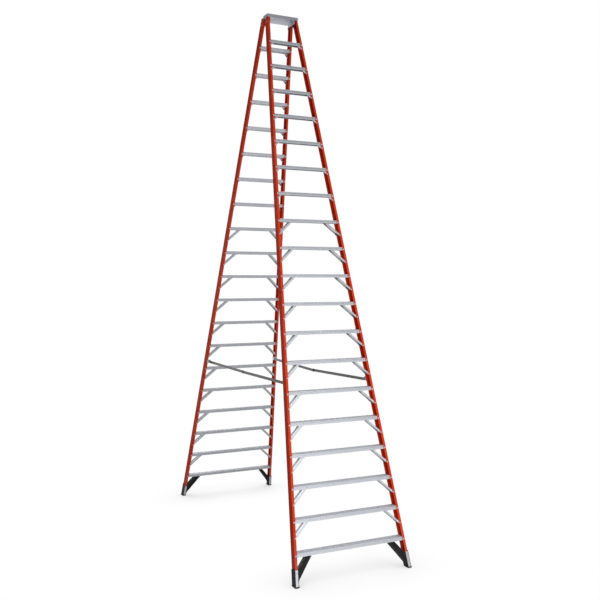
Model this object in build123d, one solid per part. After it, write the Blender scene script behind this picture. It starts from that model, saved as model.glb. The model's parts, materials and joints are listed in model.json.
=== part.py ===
from build123d import *
import os
from math import atan2, cos, sin, sqrt, tan

# Twin stepladder: two stepped sections with channel rails, hinged behind one top cap and held open by
# a folding spreader on each side. Millimetres, +Z up, origin on the floor midway between the sections.
# The front section stands at -Y and carries the cap. Left is -X.

# The whole ladder
rail_length = 6115.0        # up a rail's outer face, from the floor to the top of the cap
slope_run = 3.5             # a section leans in by this much
slope_rise = 12.0           # for this much height
base_width = 1268.0         # over the rails at the floor
top_width = 369.2           # over the rails at the top of the cap
head_gap = 17.4             # between the front and the rear rails at the top of the cap

# Rails: channels with the web outwards
rail_depth = 76.0
rail_flange = 28.0
web_wall = 5.0
flange_wall = 5.5
rail_corner = 4.0           # outside corner of web and flange
flange_tip = 1.5            # bevel of the flange edges

# Steps: a grooved level tread over two legs that stand behind the rail flanges
step_pitch = 304.8          # along the slope
top_clear = 250.0           # rail kept free of steps under the cap
tread_wall = 4.0
leg_wall = 3.0
leg_length = 36.0
nosing_drop = 9.0
nosing_bevel = 1.5
groove_count = 2
groove_width = 6.0
groove_depth = 1.3
step_end_gap = 1.0          # from a step's end to the web
notch_gap = 1.0             # from the tread's notch to a flange edge

# Braces: flat strips from a step's legs down to the rail's flanges, the long ones in front and behind
brace_wall = 3.0
brace_width = 20.0
brace_end = 9.0             # strip past its rivet
brace_seat = 20.5           # rivet's place on the flange, from the web's outer face
brace_drop_in_leg = 17.0    # upper rivet below the nosing
long_brace_reach = 142.0    # along the step, from the flange edge
long_brace_fall = 150.0     # down the rail
short_brace_reach = 46.0
short_brace_fall = 50.0
joggle_start = 22.0         # where the strip steps back past the leg
joggle_run = 9.0
first_braced_step = 2       # the bottom step stands on the boots' arms
last_long_brace = 12

# Feet: rubber pad, steel strap and moulded boot, from the floor upwards
pad_height = 14.0
pad_lip = 5.0               # pad past the rail all round
pad_corner = 7.0
pad_edge = 3.5
strap_wall = 3.0
strap_height = 160.0        # up the flanges
strap_inset = 1.0           # from the web's face and from the flange edge
boot_base = 9.0             # under the rail's end
boot_wall = 5.0             # over the web
boot_cover = 172.0          # height of the boot's outside wall
boot_block = 150.0          # height of the boot inside the channel
boot_fit = 0.3              # clearance round the web
boot_toe = 7.0              # boot past the flange edge at its foot
arm_near = 88.0             # arm's top end, from the flange edge
arm_far = 143.0
arm_root = 62.0             # height where the arm leaves the foot
arm_bend = 70.0             # radius under the arm

# Top cap: a plate with a rim over the front rails' ends, a skirt across the back, and cheeks that run back
# past the rim to the hinge, where the rear rails' round tops stand free
plate_wall = 4.0
rim_height = 33.0           # from the top of the cap
rim_gap = 0.8               # from the rim's lower edge to the front rails
rim_corner = 5.0
cap_wall = 4.0
cap_back = 21.0             # back edge of the plate and rim, from the middle of the ladder
cheek_inset = 3.0           # cheeks' front edges behind the rails' outer faces
cheek_gap = 1.5             # from the cheeks to the flange edges at the top
cheek_drop = 20.0           # skirt and cheeks below the middle of the bolts, and cheeks past the hinge
cheek_corner = 9.0          # cut from the cheeks' corners behind the hinge
hinge_clear = 3.0           # from the rear rails' round tops up to the level of the plate's underside
block_depth = 50.0          # rail head blocks, down from the hinge
running_gap = 0.3           # between turning faces side by side

# Bolts through the rail heads
bolt_radius = 6.0
hinge_fit = 0.05            # radial clearance round hinge bolts and spreader pins
head_size = 9.5             # from the middle of a bolt's head to a corner
head_height = 7.0
nut_height = 9.0
seat_margin = 1.0           # flat round a bolt's head
seat_cut = 0.5              # least depth of the flat in the web

# Spreaders
spreader_slope = 1931.0     # bracket pins, up the slope
lap_inset = 18.0            # the plane where the bars lap, in from the flange edges
bar_wall = 4.5
bar_height = 30.0
joint_eye = 18.0            # radius at the middle pivot
lap_gap = 0.6               # between the lapped bars
left_sag = 7.0              # middle pivot below the line of the bracket pins
right_sag = 30.0
pin_radius = 5.5
pivot_head = 9.5            # middle pivot's bolt: from the middle of its head or nut to a corner
pivot_height = 5.0
bracket_wall = 4.0
bracket_height = 44.0
bracket_grip = 16.0         # bracket's base over the flange
ear_radius = 13.0

# Worked out from the sizes above
lean = atan2(slope_run, slope_rise)
taper = atan2((base_width - top_width) / 2, rail_length)
height = rail_length * cos(lean)
head_spread = 2 * rail_depth / cos(lean) + head_gap
floor_spread = head_spread + 2 * rail_length * sin(lean)
step_count = int((rail_length - top_clear) // step_pitch)

sideways = Vector(1, 0, 0)
up_slope = Vector(0, sin(lean), cos(lean))
inward = Vector(0, cos(lean), -sin(lean))
rail_axis = sideways * sin(taper) + up_slope * cos(taper)
rail_across = sideways * cos(taper) - up_slope * sin(taper)
reach_past = 2 * rail_depth  # how far cutting shapes run past what they cut


def at(x, depth, slope):
    """A point of the front section: across, in from its outer face, and up its slope from the floor."""
    return Vector(x, -floor_spread / 2, 0) + inward * depth + up_slope * slope


def half_width(slope):
    """Half the width over the rails, at a place up the slope."""
    return base_width / 2 - slope * tan(taper)


def level(z, depth=0.0):
    """How far up the slope a level line at height z crosses the given depth."""
    return (z + depth * sin(lean)) / cos(lean)


def flange_edge(slope):
    """Half the width between the flange edges, at a place up the slope."""
    return half_width(slope) - rail_flange / cos(taper)


# The front left rail's own planes: across it, and its side seen from the front
rail_foot = at(-base_width / 2, 0, 0)
rail_section = Plane(origin=rail_foot, x_dir=rail_across, z_dir=rail_axis)
rail_side = Plane(origin=rail_foot, x_dir=rail_across, z_dir=-inward)

# Heights in a foot, from the floor, and the hinge's place in the front section's terms
strap_level = pad_height
boot_level = strap_level + strap_wall
rail_end_level = boot_level + boot_base
plate_level = height - plate_wall
hinge_level = plate_level - hinge_clear - rail_depth / 2
hinge_slope = level(hinge_level, rail_depth / 2)
hinge_y = -at(0, rail_depth / 2, hinge_slope).Y
cheek_x = flange_edge(rail_length) - cheek_gap
front_bolt_centre = at(0, rail_depth / 2, hinge_slope)
hinge_centre = Vector(0, hinge_y, hinge_level)

# Folded, the rear section turns by twice the lean and lies beside the front one, this far away and this
# much higher up the slope
hinge_from_front = hinge_centre - at(0, 0, 0)
closed_gap = hinge_from_front.dot(inward) - rail_depth - rail_depth / 2
closed_rise = hinge_from_front.dot(up_slope) - hinge_slope


def slanted_plane(depth, slope, x=0.0):
    """Plane across the ladder, seen from +X, with its own axes along the depth and up the slope."""
    return Plane(origin=at(x, depth, slope), x_dir=inward, z_dir=sideways)


def keep_above(shape, z):
    return split(shape, bisect_by=Plane(origin=(0, 0, z), z_dir=(0, 0, 1)), keep=Keep.TOP)


def keep_below(shape, z):
    return split(shape, bisect_by=Plane(origin=(0, 0, z), z_dir=(0, 0, 1)), keep=Keep.BOTTOM)


def keep_inside(shape, across):
    """What lies further in than a face parallel to the left rail's web."""
    face = Plane(origin=rail_foot + rail_across * across, x_dir=inward, z_dir=rail_across)
    return split(shape, bisect_by=face, keep=Keep.TOP)


def keep_outside(shape, across):
    face = Plane(origin=rail_foot + rail_across * across, x_dir=inward, z_dir=rail_across)
    return split(shape, bisect_by=face, keep=Keep.BOTTOM)


def other_side(shape):
    return mirror(shape, about=Plane.YZ)


def turned_round(shape):
    """A piece of the front section, put in the rear one."""
    return Rot(0, 0, 180) * shape


def outline(points):
    return make_face(Polyline(*points, close=True))


def save(name, *pieces):
    solids = [solid for piece in pieces for solid in piece.solids()]
    export_step(solids[0] if len(solids) == 1 else Compound(children=solids), f"parts/{name}.step")


# Half width at the flat that a bolt's head sits on, spot-faced square to the bolt
bolt_seat = half_width(hinge_slope + head_size + seat_margin) - seat_cut


def spot_face():
    """Cutter for a bolt's hole and its flat seat, at mid-depth of the left rail."""
    seat = Plane(origin=front_bolt_centre - sideways * bolt_seat, z_dir=-sideways)
    flat = extrude(seat * Circle(head_size + seat_margin), reach_past)
    middle = Plane(origin=front_bolt_centre, z_dir=-sideways)
    hole = extrude(middle * Circle(bolt_radius + hinge_fit), base_width)
    return flat + hole


def rail_channel():
    """The left rail as a long channel, still uncut at both ends."""
    near_edge = (Align.MIN, Align.MIN)
    profile = Rectangle(rail_flange, rail_depth, align=near_edge)
    hollow = Rectangle(rail_flange, rail_depth - 2 * flange_wall, align=near_edge)
    profile -= Pos(web_wall, flange_wall) * hollow
    corners = [v for v in profile.vertices() if v.X < web_wall / 2]
    profile = fillet(corners, rail_corner)
    tips = [v for v in profile.vertices() if v.X > rail_flange - web_wall / 2]
    profile = chamfer(tips, flange_tip)
    start = rail_section.offset(-reach_past)
    return extrude(start * profile, rail_length / cos(taper) + 2 * reach_past)


def front_rail():
    """The fixed rail: its top is cut level under the cap's plate."""
    rail = keep_above(keep_below(rail_channel(), plate_level), rail_end_level)
    return rail - spot_face()


def rear_rail():
    """The hinged rail: its top is rounded about the hinge bolt. Built in the front section's place."""
    below = rail_length + reach_past
    head = Circle(rail_depth / 2) + Pos(0, -below / 2) * Rectangle(2 * rail_depth, below)
    mask = extrude(slanted_plane(rail_depth / 2, hinge_slope) * head, base_width, both=True)
    rail = keep_above(rail_channel() & mask, rail_end_level)
    return rail - spot_face()


def front_head_block():
    across = rail_depth - 2 * flange_wall
    start = slanted_plane(rail_depth / 2, hinge_slope, -cheek_x)
    block = extrude(start * Rectangle(across, 2 * block_depth), -reach_past)
    return keep_below(keep_inside(block, web_wall), plate_level) - spot_face()


def rear_head_block():
    """An eight-sided top in the rail's round one, on a straight shank."""
    radius = rail_depth / 2 - flange_wall
    start = slanted_plane(rail_depth / 2, hinge_slope, -cheek_x - running_gap)
    shape = RegularPolygon(radius, 8) + Pos(0, -block_depth / 2) * Rectangle(2 * radius, block_depth)
    block = extrude(start * shape, -reach_past)
    return keep_inside(block, web_wall) - spot_face()


def step_profile():
    """Section of a step, by depth and slope from its nosing: level tread, two nosings and two legs."""
    under = tread_wall / cos(lean)
    leg = flange_wall
    leg_back = leg + leg_wall
    far_leg = rail_depth - leg
    far_back = rail_depth - leg_back
    # Each point is a depth and a drop below the tread's level there
    points = [(0, nosing_bevel), (nosing_bevel, 0)]
    pitch = rail_depth / (groove_count + 1)
    for groove in range(1, groove_count + 1):
        near_wall = groove * pitch - groove_width / 2
        far_wall = groove * pitch + groove_width / 2
        points += [(near_wall, 0), (near_wall, groove_depth), (far_wall, groove_depth), (far_wall, 0)]
    points += [(rail_depth - nosing_bevel, 0), (rail_depth, nosing_bevel), (rail_depth, nosing_drop)]
    points += [(far_leg, nosing_drop), (far_leg, leg_length), (far_back, leg_length), (far_back, under)]
    points += [(leg_back, under), (leg_back, leg_length), (leg, leg_length), (leg, nosing_drop)]
    points += [(0, nosing_drop)]
    return outline([(depth, depth * tan(lean) - drop) for depth, drop in points])


def flange_notch(depth):
    """Room for a left rail flange, in the tread's edge."""
    start = rail_section.offset(-reach_past)
    room = Rectangle(rail_flange + notch_gap + reach_past, reach_past, align=(Align.MIN, Align.MIN))
    return extrude(start * Pos(-reach_past, depth) * room, rail_length / cos(taper) + 2 * reach_past)


def make_step(number, cutters):
    slope = number * step_pitch
    step = extrude(slanted_plane(0, slope) * step_profile(), half_width(slope), both=True)
    for cutter in cutters:
        step -= cutter
    return step


def step_cutters():
    """What every step is trimmed by: both webs with their gap, and the notches for all four flanges."""
    start = rail_section.offset(-reach_past)
    long_way = rail_length / cos(taper) + 2 * reach_past
    web = Rectangle(reach_past, 3 * rail_depth, align=(Align.MAX, Align.CENTER))
    web_cut = extrude(start * Pos(web_wall + step_end_gap, rail_depth / 2) * web, long_way)
    left = [web_cut, flange_notch(flange_wall - reach_past), flange_notch(rail_depth - flange_wall)]
    return left + [other_side(cutter) for cutter in left]


def knee_brace(number, reach, fall, behind=False):
    """A left strip, flat on the inside of a step's leg and joggled out to that side's flange."""
    top_slope = number * step_pitch - brace_drop_in_leg
    outer_depth = 0.0
    into_rail = inward
    if behind:
        # As far under the level tread as the strip in front
        top_slope += (rail_depth - 2 * (flange_wall + leg_wall) - brace_wall) * tan(lean)
        outer_depth = rail_depth
        into_rail = -inward
    low_slope = top_slope - fall
    low = at(-half_width(low_slope) + brace_seat / cos(taper), outer_depth, low_slope)
    top = at(-flange_edge(top_slope) + reach, outer_depth, top_slope)
    along = (top - low).normalized()
    side = Plane(origin=low, x_dir=along, z_dir=along.cross(into_rail))
    length = (top - low).length
    seat = flange_wall
    back = flange_wall + leg_wall
    joggle_end = joggle_start + joggle_run
    face = [(-brace_end, seat), (joggle_start, seat), (joggle_end, back), (length + brace_end, back)]
    hidden = [(along_strip, depth + brace_wall) for along_strip, depth in reversed(face)]
    return extrude(side * outline(face + hidden), brace_width / 2, both=True)


def section_braces():
    for number in range(first_braced_step, step_count + 1):
        if number <= last_long_brace:
            strips = [knee_brace(number, long_brace_reach, long_brace_fall)]
            strips.append(knee_brace(number, long_brace_reach, long_brace_fall, behind=True))
        else:
            strips = [knee_brace(number, short_brace_reach, short_brace_fall)]
        for strip in strips:
            yield strip
            yield other_side(strip)


def boot():
    """The left moulded boot: a block in the channel, an arm to the bottom step, a wall over the web."""
    arm_level = at(0, 0, step_pitch - leg_length).Z
    top = step_pitch
    near = rail_flange + arm_near
    far = rail_flange + arm_far
    toe = rail_flange + boot_toe
    arm_slope = (far - toe) / (level(arm_level) - arm_root)
    past = top - level(arm_level)
    inner = web_wall + boot_fit
    foot = -reach_past / 2
    under_arm = FilletPolyline(
        (toe, foot), (toe, arm_root), (far + past * arm_slope, top), radius=arm_bend
    )
    near_slope = arm_near / (level(arm_level) - boot_block)
    above_arm = Polyline(
        (far + past * arm_slope, top), (near + past * near_slope, top), (rail_flange, boot_block),
        (inner, boot_block), (inner, foot), (toe, foot),
    )
    body = make_face(under_arm.edges() + above_arm.edges())
    between_flanges = rail_side.offset(-flange_wall)
    block = extrude(between_flanges * body, -(rail_depth - 2 * flange_wall))
    cover = Rectangle(boot_wall, boot_cover - foot, align=(Align.MAX, Align.MIN))
    wall = extrude(rail_side * Pos(-boot_fit, foot) * cover, -rail_depth)
    edge = -boot_fit - boot_wall
    sole = Rectangle(toe - edge, level(rail_end_level, rail_depth) - foot, align=(Align.MIN, Align.MIN))
    base = extrude(rail_side * Pos(edge, foot) * sole, -rail_depth)
    base = keep_below(base, rail_end_level)
    return keep_above(keep_below(block, arm_level) + wall + base, boot_level)


def shoe_strap():
    """The left steel strap, down one flange, under the boot and up the other flange."""
    out = -strap_wall
    back = rail_depth + strap_wall
    low = strap_level
    floor_line = strap_level + strap_wall
    points = [(out, strap_height), (out, level(low, out)), (back, level(low, back)), (back, strap_height)]
    points += [(rail_depth, strap_height), (rail_depth, level(floor_line, rail_depth))]
    points += [(0, level(floor_line)), (0, strap_height)]
    middle = -base_width / 2 + rail_flange / 2
    strap = extrude(slanted_plane(0, 0, middle) * outline(points), reach_past, both=True)
    return keep_outside(keep_inside(strap, strap_inset), rail_flange - strap_inset)


def rubber_pad():
    """The left sole: a level pad under the boot, with cut corners and a bevelled lower edge."""
    deep = rail_depth / cos(lean)
    wide = boot_wall + rail_flange + boot_toe
    block = Rectangle(wide + 2 * pad_lip, deep + 2 * pad_lip)
    shape = chamfer(block.vertices(), pad_corner)
    middle_x = -base_width / 2 - boot_wall + wide / 2
    middle_y = -floor_spread / 2 + deep / 2
    pad = extrude(Pos(middle_x, middle_y) * shape, pad_height)
    return chamfer(pad.faces().sort_by(Axis.Z)[0].edges(), pad_edge)


def cap_cheek():
    """The right cheek: a plate inside the right rails, from their front to just past the hinge."""
    low = hinge_level - cheek_drop
    front = cheek_inset - head_spread / 2
    corner = (Align.MIN, Align.MIN)
    shape = Pos(front, low) * Rectangle(cap_back - front, plate_level - low, align=corner)
    ear = Pos(front, low) * Rectangle(hinge_y + cheek_drop - front, 2 * cheek_drop, align=corner)
    shape += chamfer([v for v in ear.vertices() if v.X > hinge_y], cheek_corner)
    inner_face = Plane(origin=(cheek_x - cap_wall, 0, 0), x_dir=(0, 1, 0), z_dir=sideways)
    return extrude(inner_face * shape, cap_wall)


def top_cap():
    """Plate and rim stand outside the front rails, skirt and cheeks between them."""
    rim_level = height - rim_height
    low = hinge_level - cheek_drop
    inside_x = half_width(level(rim_level)) + rim_gap
    front = at(0, 0, level(rim_level)).Y - rim_gap - cap_wall
    deep = cap_back - front
    middle = Pos(0, (front + cap_back) / 2, rim_level)
    outside = Rectangle(2 * (inside_x + cap_wall), deep)
    cap = extrude(middle * chamfer(outside.vertices(), rim_corner), rim_height)
    cap -= extrude(middle * Rectangle(2 * inside_x, deep - 2 * cap_wall), rim_height - plate_wall)
    skirt = Rectangle(2 * cheek_x, cap_wall, align=(Align.CENTER, Align.MAX))
    cap += extrude(Pos(0, cap_back, low) * skirt, plate_level - low)
    cheek = cap_cheek()
    cap += cheek + other_side(cheek)
    for centre in (front_bolt_centre, hinge_centre):
        hole = Plane(origin=centre, z_dir=sideways) * Circle(bolt_radius)
        cap -= extrude(hole, cheek_x + cap_wall, both=True)
    return cap


def cap_bolt(centre, gap):
    """A left bolt: head outside the rail, shank through the head block and cheek, nut inside the cap."""
    head_x = -bolt_seat - gap
    nut_x = -cheek_x + cap_wall
    head_face = Plane(origin=centre + sideways * head_x, z_dir=-sideways)
    nut_face = Plane(origin=centre + sideways * nut_x, z_dir=sideways)
    head = extrude(head_face * RegularPolygon(head_size, 6), head_height)
    nut = extrude(nut_face * RegularPolygon(head_size, 6), nut_height)
    shank = extrude(head_face * Circle(bolt_radius), head_x - nut_x)
    return head + shank + nut


def cap_bolts():
    left = [cap_bolt(front_bolt_centre, 0.0), cap_bolt(hinge_centre, running_gap)]
    return left + [other_side(bolt) for bolt in left]


# Bars lap in one upright plane on each side, front bars outboard of it and rear bars inboard
lap_x = flange_edge(spreader_slope) - lap_inset
pin_offset = closed_gap / 2
front_pin = at(0, rail_depth + pin_offset, spreader_slope)
bar_outer = lap_gap / 2 + bar_wall


def spreader_bracket(ear_x, toward_lap):
    """A left bracket: a base on the inner flange, and an ear with a pin as long as the bar is thick."""
    slope = spreader_slope
    outer_x = -flange_edge(slope) - bracket_grip
    inner_edge = ear_x + bracket_wall / 2
    wide = inner_edge - outer_x
    base_plane = slanted_plane(rail_depth, slope, outer_x)
    base = Pos(bracket_wall / 2, 0) * Rectangle(bracket_wall, bracket_height)
    plate = extrude(base_plane * base, wide)
    pin_eye = Pos(pin_offset, 0) * Circle(ear_radius)
    ear = make_hull(base.edges() + pin_eye.edges())
    ear_plane = slanted_plane(rail_depth, slope, ear_x)
    cheek = extrude(ear_plane * ear, bracket_wall / 2, both=True)
    pin_length = bracket_wall / 2 + running_gap + bar_wall
    pin = extrude(ear_plane * Pos(pin_offset, 0) * Circle(pin_radius), toward_lap * pin_length)
    return plate + cheek + pin


def front_bracket():
    return spreader_bracket(-lap_x - bar_outer - running_gap - bracket_wall / 2, 1)


def rear_bracket():
    """Built in the front section's place."""
    return spreader_bracket(-lap_x + bar_outer + running_gap + bracket_wall / 2, -1)


def middle_pivot(sag):
    """Where the two bars of a side meet: the front bar is longer by the rise of the folded rear section."""
    half_span = -front_pin.Y
    half_difference = closed_rise / 2
    y = half_difference * sqrt(1 + sag ** 2 / (half_span ** 2 - half_difference ** 2))
    return Vector(0, y, front_pin.Z - sag)


def spreader_bar(pin, middle, lap_face, outward):
    """A flat bar from its bracket pin to the middle pivot, with the pivot's bolt head or nut outside."""
    along = (middle - pin).normalized()
    length = (middle - pin).length
    face = Plane(origin=(lap_face, pin.Y, pin.Z), x_dir=along, z_dir=sideways)
    shape = Pos(length / 2, 0) * Rectangle(length, bar_height)
    shape += Circle(bar_height / 2)
    shape += Pos(length, 0) * Circle(joint_eye)
    shape -= Circle(pin_radius + hinge_fit)
    bar = extrude(face * shape, outward * bar_wall)
    nut = face.offset(outward * bar_wall) * Pos(length, 0) * RegularPolygon(pivot_head, 6)
    return bar + extrude(nut, outward * pivot_height)


def spreader(side, sag):
    """The front and rear bars of one side; side is -1 for the left and 1 for the right."""
    middle = middle_pivot(sag)
    rear_pin = Vector(0, -front_pin.Y, front_pin.Z)
    front_bar = spreader_bar(front_pin, middle, side * (lap_x + lap_gap / 2), side)
    rear_bar = spreader_bar(rear_pin, middle, side * (lap_x - lap_gap / 2), -side)
    return front_bar, rear_bar


os.makedirs("parts", exist_ok=True)

left_rail = front_rail()
save("front_left_rail", left_rail)
save("front_right_rail", other_side(left_rail))
hinged_rail = turned_round(rear_rail())
save("rear_right_rail", hinged_rail)
save("rear_left_rail", other_side(hinged_rail))

cutters = step_cutters()
for number in range(1, step_count + 1):
    step = make_step(number, cutters)
    save(f"front_step_{number:02d}", step)
    save(f"rear_step_{number:02d}", turned_round(step))

braces = list(section_braces())
save("front_step_braces", *braces)
save("rear_step_braces", *[turned_round(brace) for brace in braces])

for name, piece in (("boots", boot()), ("shoes", shoe_strap()), ("pads", rubber_pad())):
    pair = [piece, other_side(piece)]
    save(f"front_{name}", *pair)
    save(f"rear_{name}", *[turned_round(foot) for foot in pair])

save("top_cap", top_cap())
save("top_bolts", *cap_bolts())
front_block = front_head_block()
save("front_head_blocks", front_block, other_side(front_block))
rear_block = turned_round(rear_head_block())
save("rear_head_blocks", rear_block, other_side(rear_block))

front_ear = front_bracket()
save("front_spreader_brackets", front_ear, other_side(front_ear))
rear_ear = turned_round(rear_bracket())
save("rear_spreader_brackets", rear_ear, other_side(rear_ear))
for side_name, side, sag in (("left", -1, left_sag), ("right", 1, right_sag)):
    front_bar, rear_bar = spreader(side, sag)
    save(f"{side_name}_front_bar", front_bar)
    save(f"{side_name}_rear_bar", rear_bar)

print(f"height {height:.1f}, spread {floor_spread:.1f}, cap {head_spread:.1f}, steps {step_count} a side")
print(f"hinge at y {hinge_y:.3f}, z {hinge_level:.3f}, folded gap {closed_gap:.2f}, rise {closed_rise:.2f}")
print(f"spreader pins at y {front_pin.Y:.3f}, z {front_pin.Z:.3f}, lap plane {lap_x:.2f}")
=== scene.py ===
# %% [markdown]
# # A twin stepladder
# Two stepped sections lean together under one cap, and a folding spreader on each side keeps them apart.
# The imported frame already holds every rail, step, brace and foot at its real size, so this lesson only
# dresses it: it gives each piece its finish, adds the small things that are riveted on or moulded in,
# and lights it.

# %% Load the frame
import json
from math import atan2, cos, hypot, pi, radians, sin, tan

import bpy
import numpy as np
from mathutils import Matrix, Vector


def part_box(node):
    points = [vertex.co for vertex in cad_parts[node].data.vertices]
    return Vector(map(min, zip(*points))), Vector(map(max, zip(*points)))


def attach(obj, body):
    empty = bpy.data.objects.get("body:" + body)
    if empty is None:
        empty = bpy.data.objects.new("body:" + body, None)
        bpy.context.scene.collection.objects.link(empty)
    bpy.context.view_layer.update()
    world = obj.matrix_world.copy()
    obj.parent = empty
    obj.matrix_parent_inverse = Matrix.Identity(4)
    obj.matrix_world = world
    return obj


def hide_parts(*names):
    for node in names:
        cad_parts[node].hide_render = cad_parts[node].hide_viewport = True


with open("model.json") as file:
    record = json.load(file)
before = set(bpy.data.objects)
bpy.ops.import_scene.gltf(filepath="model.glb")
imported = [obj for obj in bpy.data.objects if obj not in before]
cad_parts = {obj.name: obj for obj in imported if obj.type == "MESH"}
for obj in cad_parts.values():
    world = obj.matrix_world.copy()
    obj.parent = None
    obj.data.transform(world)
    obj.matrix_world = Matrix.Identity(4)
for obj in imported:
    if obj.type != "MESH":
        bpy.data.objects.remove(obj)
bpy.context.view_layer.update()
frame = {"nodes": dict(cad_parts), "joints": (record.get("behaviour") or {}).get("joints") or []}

# %% [markdown]
# ## The ladder's own directions
# A rivet on a leaning rail is easy to place if we count the way a ladder maker does: across the ladder,
# in from the rail's outer face, and up the slope from the floor. The lean, the step spacing and the side
# taper could be written down as numbers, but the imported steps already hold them, so they are measured
# from the steps' boxes.

# %% Measure the slope
step_count = sum(name.startswith("front_step_") and name[-1].isdigit() for name in frame["nodes"])
bays = step_count - 1
first_low, first_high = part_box("front_step_01")
last_low, last_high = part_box(f"front_step_{step_count:02d}")
rail_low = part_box("front_left_rail")[0]

step_rise = (last_high.z - first_high.z) / bays
step_run = (last_low.y - first_low.y) / bays
step_pitch = hypot(step_rise, step_run)
lean = atan2(step_run, step_rise)
side_taper = (first_high.x - last_high.x) / bays / step_pitch    # inwards, per metre up the slope
half_spread = rail_low.z * tan(lean) - rail_low.y
half_base = rail_low.z / cos(lean) * side_taper - rail_low.x

SIDEWAYS = np.array([1.0, 0.0, 0.0])
UP_SLOPE = np.array([0.0, sin(lean), cos(lean)])
INWARD = np.array([0.0, cos(lean), -sin(lean)])
FLOOR_EDGE = np.array([0.0, -half_spread, 0.0])
HALF_TURN = np.array([-1.0, -1.0, 1.0])     # the rear section is the front one, turned round
print(f"steps {step_count} at {step_pitch:.4f} m, lean {lean / radians(1):.2f} degrees")


# %% Points of a section
def half_width(up):
    """Half the width over the rails: half_base - side_taper * up."""
    return half_base - side_taper * up


def section_point(across, depth, up):
    """floor edge + across * sideways + depth * inward + up * up_slope, for numbers or whole arrays."""
    across, depth, up = (np.asarray(value, float)[..., None] for value in (across, depth, up))
    return FLOOR_EDGE + across * SIDEWAYS + depth * INWARD + up * UP_SLOPE


def way_up(point):
    """How far up the front section's slope a point lies."""
    return float((np.array(point) - FLOOR_EDGE) @ UP_SLOPE)


print("over the rails at the floor:", round(2 * half_width(0.0), 4), "m")

# %% [markdown]
# ## Nodes in few words
# Shader trees are long when each node is made, set and wired on its own lines. One helper does all
# three: its inputs are a dictionary in which a plain value is set and a socket is linked.

# %% Node helpers
MIX_FIRST, MIX_SECOND, MIX_RESULT = 6, 7, 2     # where a Mix node keeps its colour sockets


def fill_inputs(tree, node, inputs):
    """Sets the inputs that are given as plain values, and links those given as sockets."""
    for key, value in inputs.items():
        if isinstance(value, bpy.types.NodeSocket):
            tree.links.new(value, node.inputs[key])
        else:
            node.inputs[key].default_value = value


def add_node(tree, kind, inputs, **settings):
    """A new node: settings are its own properties, inputs are values to set or sockets to link."""
    node = tree.nodes.new("ShaderNode" + kind)
    for name, value in settings.items():
        setattr(node, name, value)
    fill_inputs(tree, node, inputs)
    return node


def new_group(name, inputs, outputs):
    """An empty node group with named sockets; each socket is given as (name, type)."""
    tree = bpy.data.node_groups.new(name, "ShaderNodeTree")
    for socket, kind in inputs:
        tree.interface.new_socket(socket, in_out="INPUT", socket_type="NodeSocket" + kind)
    for socket, kind in outputs:
        tree.interface.new_socket(socket, in_out="OUTPUT", socket_type="NodeSocket" + kind)
    return tree, tree.nodes.new("NodeGroupInput").outputs, tree.nodes.new("NodeGroupOutput").inputs


def place_group(tree, group, inputs):
    """Puts a finished group into a material."""
    node = tree.nodes.new("ShaderNodeGroup")
    node.node_tree = group
    fill_inputs(tree, node, inputs)
    return node.outputs


def maths(tree, operation, *values):
    """The socket of one operation on values or sockets."""
    return add_node(tree, "Math", dict(enumerate(values)), operation=operation).outputs[0]


def mix_colours(tree, share, first, second):
    """The socket of a colour between two, by a share from 0 to 1."""
    inputs = {"Factor": share, MIX_FIRST: first, MIX_SECOND: second}
    return add_node(tree, "Mix", inputs, data_type="RGBA").outputs[MIX_RESULT]


def spread(tree, value, low, high):
    """The socket of a 0 to 1 value, spread between two others."""
    return add_node(tree, "MapRange", {"Value": value, "To Min": low, "To Max": high}).outputs["Result"]


# %% [markdown]
# ## Effects that several finishes share
# Pulled glass fibre, extruded aluminium and rolled bar all carry fine lines along the way they were
# drawn. Cast and moulded pieces have a fine grain instead, and most surfaces change slowly in tone, like
# clouds. The lower pieces also pick up pale dust near the floor. Each effect is one node group, placed in
# a material with that material's own sizes.

# %% Drawn lines
drawn_lines, given, result = new_group(
    "drawn_lines", [("Vector", "Vector"), ("Across", "Float"), ("Along", "Float")], [("Lines", "Float")])
line_scale = add_node(drawn_lines, "CombineXYZ",
                      {"X": given["Across"], "Y": given["Across"], "Z": given["Along"]})
stretched = add_node(drawn_lines, "VectorMath", {0: given["Vector"], 1: line_scale.outputs[0]},
                     operation="MULTIPLY")
line_noise = add_node(drawn_lines, "TexNoise", {"Vector": stretched.outputs[0], "Scale": 1.0, "Detail": 4.0,
                                                "Roughness": 0.6})
drawn_lines.links.new(line_noise.outputs[0], result["Lines"])

# %% Grain and clouds
grain_and_clouds, given, result = new_group(
    "grain_and_clouds", [("Vector", "Vector"), ("Grain", "Float"), ("Clouds", "Float")],
    [("Grain", "Float"), ("Clouds", "Float")])
for name in ("Grain", "Clouds"):
    noise = add_node(grain_and_clouds, "TexNoise",
                     {"Vector": given["Vector"], "Scale": given[name], "Detail": 3.0})
    grain_and_clouds.links.new(noise.outputs[0], result[name])

# %% Floor dust
floor_dust, given, result = new_group(
    "floor_dust", [("Vector", "Vector"), ("Reach", "Float"), ("Amount", "Float")], [("Dust", "Float")])
height = add_node(floor_dust, "SeparateXYZ", {0: given["Vector"]}).outputs["Z"]
low_down = add_node(floor_dust, "MapRange", {"Value": height, "From Min": given["Reach"], "From Max": 0.0})
patches = add_node(floor_dust, "TexNoise", {"Vector": given["Vector"], "Scale": 38.0, "Detail": 5.0})
patchy = maths(floor_dust, "MULTIPLY", low_down.outputs[0], patches.outputs[0])
floor_dust.links.new(maths(floor_dust, "MULTIPLY", patchy, given["Amount"]), result["Dust"])
print("shared effects:", [group.name for group in bpy.data.node_groups])

# %% [markdown]
# ## Finishes
# A finish starts from a Principled shader, with its constant values set on the shader itself and only
# what changes over the surface wired in. Colours are written as they look on a screen and turned into
# linear light.

# %% Start a finish
DUST = (0.46, 0.44, 0.41, 1.0)
DULL_RANGE = 0.1            # how far a finish's roughness goes to either side of its middle


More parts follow.
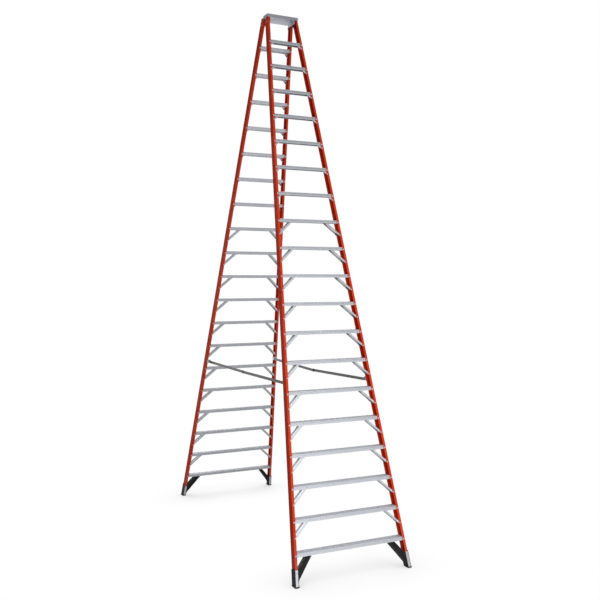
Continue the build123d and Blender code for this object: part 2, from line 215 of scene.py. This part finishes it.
def screen_colour(red, green, blue):
    """Linear light from screen values of 0 to 255: ((v + 0.055) / 1.055) to the power 2.4."""
    values = (np.array([red, green, blue]) / 255 + 0.055) / 1.055
    return (*values ** 2.4, 1.0)


def new_finish(name, **constants):
    """A material with its Principled shader and the object's own coordinates."""
    material = bpy.data.materials.new(name)
    material.use_nodes = True
    tree = material.node_tree
    shader = tree.nodes["Principled BSDF"]
    for socket, value in constants.items():
        shader.inputs[socket.replace("_", " ")].default_value = value
    coordinates = tree.nodes.new("ShaderNodeTexCoord").outputs["Object"]
    return material, tree, shader.inputs, coordinates


def turned_along(tree, coordinates, direction):
    """Coordinates whose third axis runs along a direction of the piece."""
    turn = Vector(direction).to_track_quat("Z", "Y").to_euler()
    inputs = {"Vector": coordinates, "Rotation": turn}
    return add_node(tree, "Mapping", inputs, vector_type="TEXTURE").outputs[0]


def raise_surface(tree, sockets, height, depth, strength):
    """Feeds a height from 0 to 1 to the shader's normal, as relief of a real depth in metres."""
    bump = add_node(tree, "Bump", {"Height": height, "Distance": depth, "Strength": strength})
    tree.links.new(bump.outputs[0], sockets["Normal"])


# %% [markdown]
# ### Fibreglass rails
# The rails are pulled through a die as bundles of glass in orange resin. Their surface is smooth, but
# the bundles show as faint streaks that run the whole length. A flat orange would look like painted
# wood, so the colour and the gloss follow lines that are stretched along each rail, which needs one
# material for each rail's direction.

# %% Fibreglass
RESIN = screen_colour(222, 72, 38)
RESIN_DEEP = screen_colour(200, 53, 28)


def fibreglass(name, direction):
    """Orange resin with streaks along one rail's direction, and dust near the floor."""
    material, tree, sockets, place = new_finish(name, Specular_IOR_Level=0.015)
    along = turned_along(tree, place, direction)
    strands = place_group(tree, drawn_lines, {"Vector": along, "Across": 420.0, "Along": 5.0})["Lines"]
    clouds = place_group(tree, grain_and_clouds, {"Vector": place, "Clouds": 2.2})["Clouds"]
    blend = maths(tree, "MULTIPLY", strands, clouds)
    tone = add_node(tree, "MapRange", {"Value": blend, "From Min": 0.12, "From Max": 0.4}).outputs["Result"]
    dust = place_group(tree, floor_dust, {"Vector": place, "Reach": 0.5, "Amount": 0.25})["Dust"]
    resin = mix_colours(tree, tone, RESIN_DEEP, RESIN)
    tree.links.new(mix_colours(tree, dust, resin, DUST), sockets["Base Color"])
    tree.links.new(spread(tree, strands, low=0.38, high=0.60), sockets["Roughness"])
    raise_surface(tree, sockets, strands, depth=0.0004, strength=0.35)
    return material


# %% [markdown]
# ### Aluminium steps and cap
# The steps are extruded and left bare: bright along the die lines and duller in between. The ribbed
# treads are scuffed dull by shoes, so one function makes both finishes with different values. The cap is
# cast, so it has a fine even grain and no lines, and its rim is painted darker, as painted shade on the
# rim's outer walls. The rim is told apart by how far out it lies, because all of the cap is one piece.

# %% Aluminium
RIM_WALL = 0.0045           # the outermost part of the cap
DIE_GREY, DIE_BRIGHT = screen_colour(150, 153, 159), screen_colour(188, 190, 195)
STEP_STAIN = screen_colour(146, 148, 154)
CAST_GREY, CAST_BRIGHT = screen_colour(190, 193, 199), screen_colour(214, 216, 222)
# painted shade: the rim's outer walls are coloured darker than the cast metal, to stand for the shade they
# fall in
RIM_PAINTED_SHADE = screen_colour(132, 134, 142)


def extruded_aluminium(name, dull, strength):
    """Bare metal with die lines across the ladder; dull is the middle of its roughness."""
    material, tree, sockets, place = new_finish(name, Metallic=0.6)
    along = turned_along(tree, place, SIDEWAYS)
    lines = place_group(tree, drawn_lines, {"Vector": along, "Across": 900.0, "Along": 7.0})["Lines"]
    clouds = place_group(tree, grain_and_clouds, {"Vector": place, "Clouds": 6.0})["Clouds"]
    bright = mix_colours(tree, lines, DIE_GREY, DIE_BRIGHT)
    stained = mix_colours(tree, spread(tree, clouds, low=0.0, high=0.35), bright, STEP_STAIN)
    tree.links.new(stained, sockets["Base Color"])
    tree.links.new(spread(tree, lines, dull - DULL_RANGE, dull + DULL_RANGE), sockets["Roughness"])
    raise_surface(tree, sockets, lines, depth=0.0003, strength=strength)
    return material


def cap_aluminium():
    """Cast metal with a fine grain and a rim painted darker as shade."""
    material, tree, sockets, place = new_finish("cap_aluminium", Metallic=0.6)
    noise = place_group(tree, grain_and_clouds, {"Vector": place, "Grain": 700.0, "Clouds": 14.0})
    cast = mix_colours(tree, noise["Clouds"], CAST_GREY, CAST_BRIGHT)
    low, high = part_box("top_cap")
    axes = add_node(tree, "SeparateXYZ", {0: place}).outputs
    # the rim mask picks out the side ends and the front wall, where the painted shade goes
    at_sides = maths(tree, "GREATER_THAN", maths(tree, "ABSOLUTE", axes["X"]), high.x - RIM_WALL)
    in_front = maths(tree, "LESS_THAN", axes["Y"], low.y + RIM_WALL)
    rim = maths(tree, "MAXIMUM", at_sides, in_front)
    tree.links.new(mix_colours(tree, rim, cast, RIM_PAINTED_SHADE), sockets["Base Color"])
    tree.links.new(spread(tree, noise["Grain"], low=0.38, high=0.6), sockets["Roughness"])
    raise_surface(tree, sockets, noise["Grain"], depth=0.0004, strength=0.5)
    return material


step_metal = extruded_aluminium("step_aluminium", dull=0.52, strength=0.15)
tread_metal = extruded_aluminium("tread_aluminium", dull=0.6, strength=0.1)
cap_metal = cap_aluminium()

# %% [markdown]
# ### Steel
# Braces, shoe straps, brackets and rivets are zinc plated: a blue-grey shine broken into small flakes.
# The spreader bars are darker rolled steel with lines along the bar.

# %% Steel
FLAKE_GREY, FLAKE_BRIGHT = screen_colour(150, 154, 160), screen_colour(178, 181, 186)
ZINC_STAIN = screen_colour(136, 139, 144)
BAR_DARK, BAR_GREY = screen_colour(54, 54, 56), screen_colour(84, 84, 86)
BAR_DIRECTION = (0.0, 1.0, 0.0)


def zinc_steel():
    """Plating in small flakes, with slow stains."""
    material, tree, sockets, place = new_finish("zinc_steel", Metallic=0.9)
    cells = add_node(tree, "TexVoronoi", {"Vector": place, "Scale": 160.0})
    flakes = add_node(tree, "SeparateColor", {0: cells.outputs["Color"]}).outputs[0]
    clouds = place_group(tree, grain_and_clouds, {"Vector": place, "Clouds": 9.0})["Clouds"]
    plated = mix_colours(tree, flakes, FLAKE_GREY, FLAKE_BRIGHT)
    stained = mix_colours(tree, spread(tree, clouds, low=0.0, high=0.4), plated, ZINC_STAIN)
    tree.links.new(stained, sockets["Base Color"])
    tree.links.new(spread(tree, flakes, low=0.44, high=0.58), sockets["Roughness"])
    return material


def spreader_steel():
    """Dark rolled bar with lines along it."""
    material, tree, sockets, place = new_finish("spreader_steel", Metallic=0.75)
    along = turned_along(tree, place, BAR_DIRECTION)
    lines = place_group(tree, drawn_lines, {"Vector": along, "Across": 700.0, "Along": 9.0})["Lines"]
    tree.links.new(mix_colours(tree, lines, BAR_DARK, BAR_GREY), sockets["Base Color"])
    tree.links.new(spread(tree, lines, low=0.38, high=0.6), sockets["Roughness"])
    raise_surface(tree, sockets, lines, depth=0.0003, strength=0.3)
    return material


plated_steel = zinc_steel()
bar_steel = spreader_steel()

# %% [markdown]
# ### Moulded plastic and rubber
# Boots and soles are both black, but not the same black: the moulded boots have a fine leathery grain
# and a soft sheen, and the rubber is duller and gathers more dust. The head blocks inside the rails are
# a dark red. One function makes them with different values.


# %% Plastic and rubber
def moulded_finish(name, dark, light, grain_scale, depth, dull, dust_amount):
    """Plastic or rubber between two tones, with a grain of a real depth and dust near the floor."""
    material, tree, sockets, place = new_finish(name, Specular_IOR_Level=0.1)
    noise = place_group(tree, grain_and_clouds, {"Vector": place, "Grain": grain_scale, "Clouds": 16.0})
    dust = place_group(tree, floor_dust, {"Vector": place, "Reach": 0.3, "Amount": dust_amount})["Dust"]
    clean = mix_colours(tree, noise["Clouds"], dark, light)
    tree.links.new(mix_colours(tree, dust, clean, DUST), sockets["Base Color"])
    roughness = spread(tree, noise["Grain"], dull - DULL_RANGE, dull + DULL_RANGE)
    tree.links.new(roughness, sockets["Roughness"])
    raise_surface(tree, sockets, noise["Grain"], depth, strength=0.6)
    return material


boot_black = moulded_finish("boot_plastic", dark=screen_colour(14, 15, 17), light=screen_colour(25, 26, 29),
                            grain_scale=700.0, depth=0.0004, dull=0.6, dust_amount=0.05)
sole_black = moulded_finish("pad_rubber", dark=screen_colour(14, 14, 15), light=screen_colour(24, 24, 24),
                            grain_scale=420.0, depth=0.0006, dull=0.75, dust_amount=0.2)
block_red = moulded_finish("block_plastic", dark=screen_colour(66, 24, 21), light=screen_colour(86, 32, 28),
                           grain_scale=700.0, depth=0.0004, dull=0.55, dust_amount=0.0)

# %% [markdown]
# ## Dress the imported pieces
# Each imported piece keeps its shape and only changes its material. A rail's direction follows from its
# section and its side: up the slope, and inwards by the side taper.

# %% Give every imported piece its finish
FINISHES = {"boots": boot_black, "pads": sole_black, "head_blocks": block_red, "top_cap": cap_metal,
            "bar": bar_steel, "braces": plated_steel, "shoes": plated_steel, "brackets": plated_steel,
            "top_bolts": plated_steel}


def finish_for(name):
    """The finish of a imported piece, from its name."""
    if name.endswith("_rail"):
        section, side = name.split("_")[:2]
        backward = 1.0 if section == "front" else -1.0
        rightward = 1.0 if side == "left" else -1.0
        direction = UP_SLOPE * (1.0, backward, 1.0) + rightward * side_taper * SIDEWAYS
        return fibreglass("fibreglass_" + section + "_" + side, direction)
    if name[-1].isdigit():
        return step_metal
    return next(finish for ending, finish in FINISHES.items() if name.endswith(ending))


for name, node in frame["nodes"].items():
    finish = finish_for(name)
    for material_slot in node.material_slots:
        material_slot.material = finish
print("finishes:", sorted(material.name for material in bpy.data.materials if material.users))

# %% [markdown]
# ## Closed tubes
# Rivet heads, tread ribs and rubber soles look different, but each is the same surface: a ring of points
# that is carried along a second parameter and closed with a cap at both ends. Their points are worked
# out as one array of copies, rings and points around, so one helper can join them all into faces.


# %% Build a mesh from rings
def tube_faces(copies, rings, around):
    """Quads (i, j), (i, j+1), (i+1, j+1), (i+1, j) for rings i and points j of each copy, and two caps."""
    index = np.arange(copies * rings * around).reshape(copies, rings, around)
    beside = np.roll(index, -1, axis=2)
    quads = np.stack([index[:, :-1], beside[:, :-1], beside[:, 1:], index[:, 1:]], axis=-1)
    return quads.reshape(-1, 4).tolist() + index[:, 0, ::-1].tolist() + index[:, -1].tolist()


def add_tubes(name, points, finish, body, crease=radians(40)):
    """A piece made of closed tubes, from points shaped copies x rings x around x 3."""
    mesh = bpy.data.meshes.new(name)
    mesh.from_pydata(points.reshape(-1, 3).tolist(), [], tube_faces(*points.shape[:3]))
    mesh.polygons.foreach_set("use_smooth", np.ones(len(mesh.polygons), bool))
    mesh.set_sharp_from_angle(angle=crease)
    mesh.materials.append(finish)
    piece = bpy.data.objects.new(name, mesh)
    bpy.context.scene.collection.objects.link(piece)
    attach(piece, body)
    print(f"{name}: {points.shape[0]} solids, {len(mesh.polygons)} faces")
    return piece


def add_to_both(name, points, finish):
    """The same piece on the front section and, turned round, on the rear one."""
    front = add_tubes("front_" + name, points, finish, "front_section")
    rear = add_tubes("rear_" + name, points * HALF_TURN, finish, "rear_section")
    return front, rear


# %% [markdown]
# ## Rivets
# Every step is riveted through both flanges of each rail, and every brace strip through a flange and a
# leg of the step. A rivet is a low dome. It could be a sphere cut in half, but hundreds of spheres are
# heavy, so each dome is a few rings of an ellipse, and a section's domes of one kind are one mesh.

# %% Rivet heads
RIVET_AROUND = 10
RIVET_RISE = np.radians([-8.0, 12.0, 38.0, 66.0])[:, None, None]    # places up the dome's curve
SIDES = np.array([[-1.0], [1.0]])


def rivet_heads(centres, normal, tangent, radius, height):
    """centre + radius * cos(a) * (cos(t) * tangent + sin(t) * cotangent) + height * sin(a) * normal."""
    turn = np.linspace(0.0, 2 * pi, RIVET_AROUND, endpoint=False)
    cotangent = np.cross(normal, tangent)
    ring = np.cos(turn)[:, None] * tangent + np.sin(turn)[:, None] * cotangent
    dome = radius * np.cos(RIVET_RISE) * ring + height * np.sin(RIVET_RISE) * normal
    return centres.reshape(-1, 1, 1, 3) + dome


def add_rivets(name, heads):
    """Zinc plated rivets on both sections, from one or more arrays of heads."""
    add_to_both(name, np.concatenate(heads), plated_steel)


# %% [markdown]
# The places follow from the sizes of rail, step and brace. The rivets of a step sit half-way down its
# legs, on the front flange and on the back flange. From the second one up, the lower steps have long
# braces in front and behind, and those above have short ones in front. A strip behind lies as far under
# the level tread as the one in front, so its rivets are higher up the slope.

# %% Place the rivets
RAIL_DEPTH = 0.076
RAIL_FLANGE = 0.028
FLANGE_WALL = 0.0055
LEG_WALL = 0.003            # of a step
BRACE_WALL = 0.003
RIVET_INSET = 0.0165        # from the web's outer face
LEG_RIVET_DROP = 0.0225     # below the nosing
BRACE_RIVET_DROP = 0.017
BRACE_INSET = 0.0205
FIRST_BRACED_STEP = 2
LAST_LONG_BRACE = 12
LONG_BRACE = (0.142, 0.150)         # reach along the step and fall down the rail
SHORT_BRACE = (0.046, 0.050)
STEP_RIVET = (0.0085, 0.0035)       # radius and height of a head
BRACE_HEAD_RIVET = (0.006, 0.0025)
BRACE_FOOT_RIVET = (0.007, 0.003)

numbers = np.arange(1, step_count + 1)
nosing_up = numbers * step_pitch
front_up = nosing_up - LEG_RIVET_DROP
back_up = front_up + RAIL_DEPTH * tan(lean)
on_front = section_point(SIDES * (half_width(front_up) - RIVET_INSET), 0.0, front_up)
on_back = section_point(SIDES * (half_width(back_up) - RIVET_INSET), RAIL_DEPTH, back_up)
add_rivets("step_rivets", [rivet_heads(on_front, -INWARD, SIDEWAYS, *STEP_RIVET),
                           rivet_heads(on_back, INWARD, SIDEWAYS, *STEP_RIVET)])


def brace_rivets(braced, reach, fall, face_depth, normal, rise):
    """Two domes for each strip: on the step's leg, reach past the flange edge, and on the flange.

    The second lies below the first by fall.
    """
    head_up = braced * step_pitch - BRACE_RIVET_DROP + rise
    foot_up = head_up - fall
    leg_depth = face_depth - FLANGE_WALL * (normal @ INWARD)
    heads = section_point(SIDES * (half_width(head_up) - RAIL_FLANGE - reach), leg_depth, head_up)
    feet = section_point(SIDES * (half_width(foot_up) - BRACE_INSET), face_depth, foot_up)
    return np.concatenate([rivet_heads(heads, normal, SIDEWAYS, *BRACE_HEAD_RIVET),
                           rivet_heads(feet, normal, SIDEWAYS, *BRACE_FOOT_RIVET)])


back_rise = (RAIL_DEPTH - 2 * (FLANGE_WALL + LEG_WALL) - BRACE_WALL) * tan(lean)
long_braced = numbers[(numbers >= FIRST_BRACED_STEP) & (numbers <= LAST_LONG_BRACE)]
short_braced = numbers[numbers > LAST_LONG_BRACE]
add_rivets("brace_rivets", [brace_rivets(long_braced, *LONG_BRACE, 0.0, -INWARD, 0.0),
                            brace_rivets(long_braced, *LONG_BRACE, RAIL_DEPTH, INWARD, back_rise),
                            brace_rivets(short_braced, *SHORT_BRACE, 0.0, -INWARD, 0.0)])

# %% [markdown]
# The shoe straps have two rivets on each flange, the spreader brackets one above and one below the pin,
# and each rail head two below the bolt, where the block inside is held. The pin and the hinge are read
# from the joints.

# %% Rivets of shoes, brackets and rail heads
STRAP_WALL = 0.003
STRAP_MIDDLE = 0.014        # from the web's outer face
STRAP_RIVETS_UP = np.array([0.075, 0.135])
STRAP_RIVET = (0.006, 0.0025)       # radius and height of a head
BRACKET_WALL = 0.004
BRACKET_INSET = 0.020       # from the web's outer face
BRACKET_RIVETS = np.array([-0.014, 0.014])      # from the pin, along the slope
BRACKET_RIVET = (0.005, 0.0022)
HEAD_RIVETS_BELOW = 0.042   # down the slope from the hinge
HEAD_RIVETS_DEPTH = np.array([0.022, 0.054])
HEAD_RIVET = (0.007, 0.003)

joint_places = {joint["name"]: joint["pos_m"] for joint in frame["joints"]}
pin_up = way_up(joint_places["left_front_bar_pivot"])
hinge_up = way_up(joint_places["rear_section_fold"] * HALF_TURN)

strap_across = SIDES * (half_width(STRAP_RIVETS_UP) - STRAP_MIDDLE)
strap_front = section_point(strap_across, -STRAP_WALL, STRAP_RIVETS_UP)
strap_back = section_point(strap_across, RAIL_DEPTH + STRAP_WALL, STRAP_RIVETS_UP)
add_rivets("shoe_rivets", [rivet_heads(strap_front, -INWARD, SIDEWAYS, *STRAP_RIVET),
                           rivet_heads(strap_back, INWARD, SIDEWAYS, *STRAP_RIVET)])

bracket_up = pin_up + BRACKET_RIVETS
bracket_across = SIDES * (half_width(bracket_up) - BRACKET_INSET)
on_bracket = section_point(bracket_across, RAIL_DEPTH + BRACKET_WALL, bracket_up)
add_rivets("bracket_rivets", [rivet_heads(on_bracket, INWARD, SIDEWAYS, *BRACKET_RIVET)])

rail_head_up = np.full(HEAD_RIVETS_DEPTH.size, hinge_up - HEAD_RIVETS_BELOW)
head_rivets = []
for side in (-1.0, 1.0):
    web_normal = side * SIDEWAYS + side_taper * UP_SLOPE
    web_normal = web_normal / np.linalg.norm(web_normal)
    on_web = section_point(side * half_width(rail_head_up), HEAD_RIVETS_DEPTH, rail_head_up)
    head_rivets.append(rivet_heads(on_web, web_normal, INWARD, *HEAD_RIVET))
add_rivets("head_rivets", head_rivets)

# %% [markdown]
# ## Tread ribs
# Three lands run along each tread, with grooves between them, and each land carries five low ribs for
# grip. Bump could fake them, but their shine changes as the view goes round, so they are real: a wave
# across the land, drawn out along the step between the rails.

# %% Ribs on the treads
TREAD_GROOVES = 2
GROOVE_WIDTH = 0.006
NOSING_BEVEL = 0.0015
RIBS_PER_LAND = 5
RIB_HEIGHT = 0.0005
RIB_SINK = 0.0003           # how deep the ribs' flat underside lies in the tread
RIB_END = 0.004             # bare tread before the flange edge
WAVE_POINTS = 31
UPRIGHT = np.array([0.0, 0.0, 1.0])

groove_middles = RAIL_DEPTH * np.arange(1, TREAD_GROOVES + 1) / (TREAD_GROOVES + 1)
land_starts = np.concatenate([[NOSING_BEVEL], groove_middles + GROOVE_WIDTH / 2])
land_ends = np.concatenate([groove_middles - GROOVE_WIDTH / 2, [RAIL_DEPTH - NOSING_BEVEL]])


def rib_profile():
    """Share s of the land's width and height h * (1 - cos(2 pi ribs s)) / 2, then the underside."""
    share = np.linspace(1.0, 0.0, WAVE_POINTS)
    wave = RIB_HEIGHT * (1 - np.cos(2 * pi * RIBS_PER_LAND * share)) / 2
    return np.concatenate([share, [0.0, 1.0]]), np.concatenate([wave, [-RIB_SINK, -RIB_SINK]])


share, rib_rise = rib_profile()
depth = land_starts[:, None] + (land_ends - land_starts)[:, None] * share
rib_ends = SIDES.ravel() * (half_width(nosing_up) - RAIL_FLANGE - RIB_END)[:, None]
across, depth, up = np.broadcast_arrays(rib_ends[:, None, :, None], depth[None, :, None, :],
                                        nosing_up[:, None, None, None])
ribs = section_point(across, depth, up + depth * tan(lean)) + rib_rise[:, None] * UPRIGHT
add_to_both("tread_ribs", ribs.reshape(-1, 2, share.size, 3), tread_metal)

# %% [markdown]
# ## Rubber soles
# The soles are moulded: rounded at the corners, with a lip half-way up and a softened rim. The packed
# pads are plain blocks with cut corners, so moulded soles take their place. Each is a stack of rounded
# outlines.

# %% Soles
SOLE_WIDTH = 0.050
SOLE_SQUARENESS = 7.0
SOLE_AROUND = 72
SOLE_INSETS = np.array([0.0045, 0.0015, 0.0003, 0.0016, 0.0016, 0.0, 0.0, 0.0008, 0.003])
SOLE_LEVELS = np.array([0.0, 0.0012, 0.0036, 0.0046, 0.0058, 0.0068, 0.0112, 0.0132, 0.014])


def sole(middle, half_wide, half_deep):
    """Rings x = a * sign(c) * |c|^(2/n), y = b * sign(s) * |s|^(2/n), with c = cos t and s = sin t.

    The half sizes a and b are less by the inset at each level, and n is the squareness.
    """
    turn = np.linspace(0.0, 2 * pi, SOLE_AROUND, endpoint=False)
    round_x, round_y = (np.sign(wave) * np.abs(wave) ** (2 / SOLE_SQUARENESS)
                        for wave in (np.cos(turn), np.sin(turn)))
    x = middle[0] + (half_wide - SOLE_INSETS)[:, None] * round_x
    y = middle[1] + (half_deep - SOLE_INSETS)[:, None] * round_y
    z = np.broadcast_to(SOLE_LEVELS[:, None], x.shape)
    return np.stack([x, y, z], axis=-1)


pad_low, pad_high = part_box("front_pads")
half_deep = (pad_high.y - pad_low.y) / 2
pad_middle_y = (pad_high.y + pad_low.y) / 2
pad_middle_x = pad_high.x - SOLE_WIDTH / 2
soles = np.stack([sole((side * pad_middle_x, pad_middle_y), SOLE_WIDTH / 2, half_deep) for side in (-1, 1)])
sole_pieces = add_to_both("soles", soles, sole_black)
for piece, node in zip(sole_pieces, ("front_pads", "rear_pads")):
    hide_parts(node)

# %% [markdown]
# ## Floor, light and camera
# The floor and the sky are white where the camera or a reflection meets them, and weaker as light, so
# the ladder stands on white paper but keeps its shading. White paper still shows a soft shadow where
# something stands on it. Painted spots would stay behind when a section folds away, so each place on the
# floor is darkened by how much of the sky above it is covered.

# %% White floor
FLOOR_HALF = 60.0
SHADOW_SHARE = 0.35
SHADOW_REACH = 0.6          # how far off a piece still darkens the floor
OPEN_FLOOR, CLOSE_FLOOR = 1.0, 0.6      # share of the sky that a bright and a dark place see
FLOOR_GREY = (0.6, 0.6, 0.6, 1.0)       # the floor's colour for light that scatters
WHITE = (1.0, 1.0, 1.0, 1.0)

floor_mesh = bpy.data.meshes.new("floor")
corners = FLOOR_HALF * np.array([[-1, -1, 0], [1, -1, 0], [1, 1, 0], [-1, 1, 0]])
floor_mesh.from_pydata(corners.tolist(), [], [[0, 1, 2, 3]])
floor = bpy.data.objects.new("floor", floor_mesh)
bpy.context.scene.collection.objects.link(floor)


def seen_as_white(tree):
    """1 for rays from the camera and for reflected or refracted ones, 0 for light that scatters."""
    path = tree.nodes.new("ShaderNodeLightPath").outputs
    shiny = maths(tree, "MAXIMUM", path["Is Glossy Ray"], path["Is Transmission Ray"])
    return maths(tree, "MAXIMUM", path["Is Camera Ray"], shiny)


paper = bpy.data.materials.new("floor_paper")
paper.use_nodes = True
tree = paper.node_tree
tree.nodes.remove(tree.nodes["Principled BSDF"])
open_sky = add_node(tree, "AmbientOcclusion", {"Distance": SHADOW_REACH}, samples=16).outputs["AO"]
shadow = add_node(tree, "MapRange", {"Value": open_sky, "From Min": CLOSE_FLOOR, "From Max": OPEN_FLOOR,
                                     "To Min": 1.0 - SHADOW_SHARE, "To Max": 1.0}).outputs["Result"]
white_share = maths(tree, "MULTIPLY", seen_as_white(tree), shadow)
matt = add_node(tree, "BsdfDiffuse", {"Color": FLOOR_GREY})
white = add_node(tree, "Emission", {"Color": WHITE, "Strength": 1.0})
paper_mix = add_node(tree, "MixShader", {0: white_share, 1: matt.outputs[0], 2: white.outputs[0]})
tree.links.new(paper_mix.outputs[0], tree.nodes["Material Output"].inputs["Surface"])
floor_mesh.materials.append(paper)

# %% White surroundings
SKY_LIGHT = 0.10

world = bpy.data.worlds.new("white_studio")
bpy.context.scene.world = world
world.use_nodes = True
tree = world.node_tree
dim = add_node(tree, "Background", {"Color": WHITE, "Strength": SKY_LIGHT})
bright = add_node(tree, "Background", {"Color": WHITE, "Strength": 1.0})
sky = add_node(tree, "MixShader", {0: seen_as_white(tree), 1: dim.outputs[0], 2: bright.outputs[0]})
tree.links.new(sky.outputs[0], tree.nodes["World Output"].inputs["Surface"])

# %% [markdown]
# In the photograph the front flanges are bright and the outer sides of the left rails fall into shade.
# Large soft lamps in front, behind and at the right do the same, with none at the left. A ladder this
# tall would need a very large lamp above it for its treads, so that light comes from far away, like
# daylight, and is equal on every step.


# %% Lamps
def add_lamp(name, place, target, wide, high, power):
    """A rectangular soft lamp that faces a target."""
    data = bpy.data.lights.new(name, "AREA")
    data.shape = "RECTANGLE"
    data.size = wide
    data.size_y = high
    data.energy = power
    lamp = bpy.data.objects.new(name, data)
    lamp.location = place
    lamp.rotation_euler = (Vector(target) - Vector(place)).to_track_quat("-Z", "Y").to_euler()
    bpy.context.scene.collection.objects.link(lamp)


add_lamp("front_lamp", place=(0.0, -6.4, 3.2), target=(0.0, -0.8, 3.1), wide=4.0, high=6.0, power=260.0)
add_lamp("back_lamp", place=(0.0, 6.2, 2.6), target=(0.0, 1.0, 2.6), wide=4.0, high=5.0, power=190.0)
add_lamp("right_lamp", place=(6.5, 0.5, 3.0), target=(0.0, 0.0, 2.8), wide=5.0, high=5.0, power=120.0)

daylight = bpy.data.lights.new("top_light", "SUN")
daylight.energy = 1.0
daylight.angle = radians(20.0)
bpy.context.scene.collection.objects.link(bpy.data.objects.new("top_light", daylight))
print("lamps:", [light.name for light in bpy.data.lights])

# %% [markdown]
# The camera's place comes from fitting the rails and the steps to the photograph: nearly three metres
# up, in front of the ladder and to its left, and looking almost level.

# %% Camera
CAMERA_PLACE = (-3.7355, -8.3945, 2.8633)
LOOK_DOWN = 1.43            # degrees below level
LOOK_RIGHT = 25.48          # degrees from straight ahead

camera_data = bpy.data.cameras.new("camera")
camera_data.sensor_width = 36.0
camera_data.lens = 47.574
camera = bpy.data.objects.new("camera", camera_data)
camera.location = CAMERA_PLACE
camera.rotation_euler = (radians(90.0 - LOOK_DOWN), 0.0, radians(-LOOK_RIGHT))
bpy.context.scene.collection.objects.link(camera)
bpy.context.scene.camera = camera
bpy.context.scene.view_settings.view_transform = "Standard"
